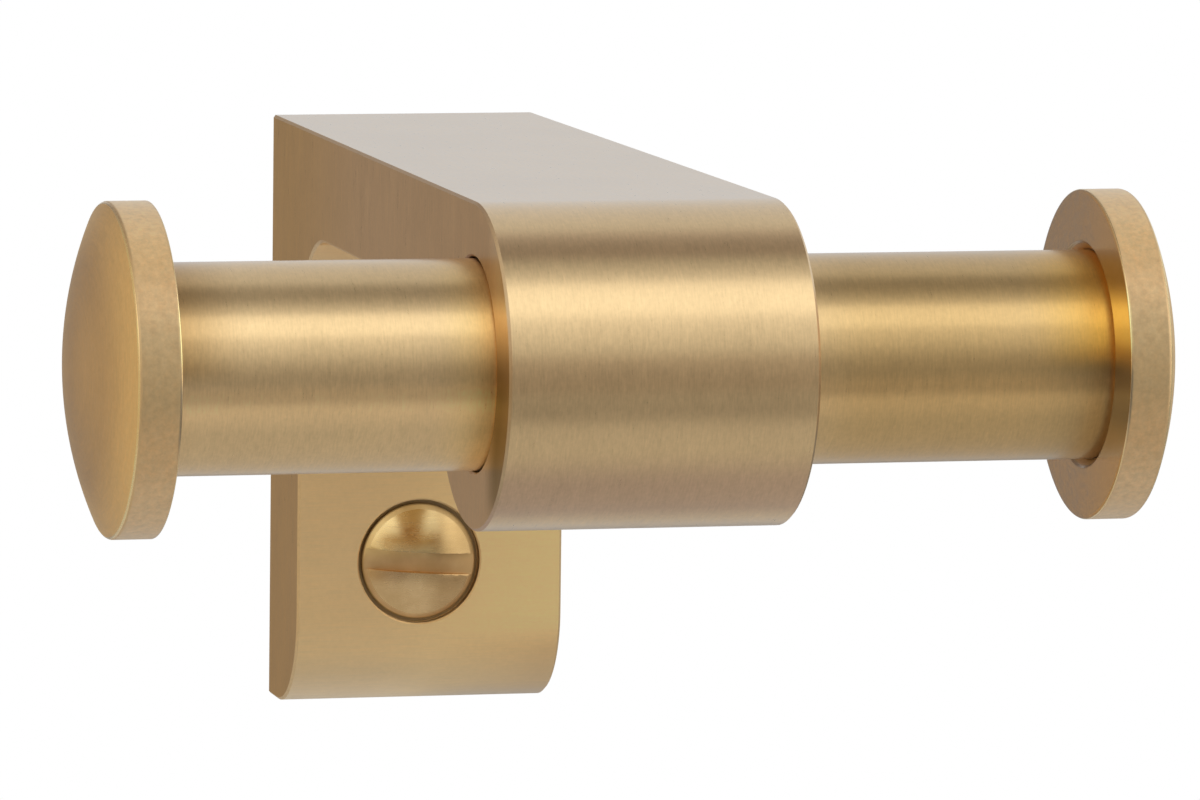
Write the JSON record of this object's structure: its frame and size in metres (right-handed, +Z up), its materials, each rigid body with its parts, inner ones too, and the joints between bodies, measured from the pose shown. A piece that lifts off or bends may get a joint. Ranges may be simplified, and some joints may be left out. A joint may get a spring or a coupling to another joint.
{
  "type": "robe hook",
  "caption": "Wall robe hook in satin brass: a bracket shaped like a 7 whose round nose holds a cross rod with a domed knob on each end.",
  "frame": {"origin": "the middle of the bracket's back face, on the wall", "axes": "+X to the right along the rod as seen from the room, +Y into the wall, +Z up"},
  "size_m": [0.0852, 0.1124, 0.0489],
  "materials": {
    "satin_brass": "fine brushed satin",
    "polished_brass": "polished",
    "screw_steel": "plain machined"
  },
  "bodies": {
    "root": {"hook_body": "satin_brass", "cross_bar": "satin_brass", "left_knob": "satin_brass", "right_knob": "satin_brass", "wall_screw": "polished_brass", "left_stud": "screw_steel", "right_stud": "screw_steel", "bar_set_screw": "screw_steel"}
  },
  "joints": []
}
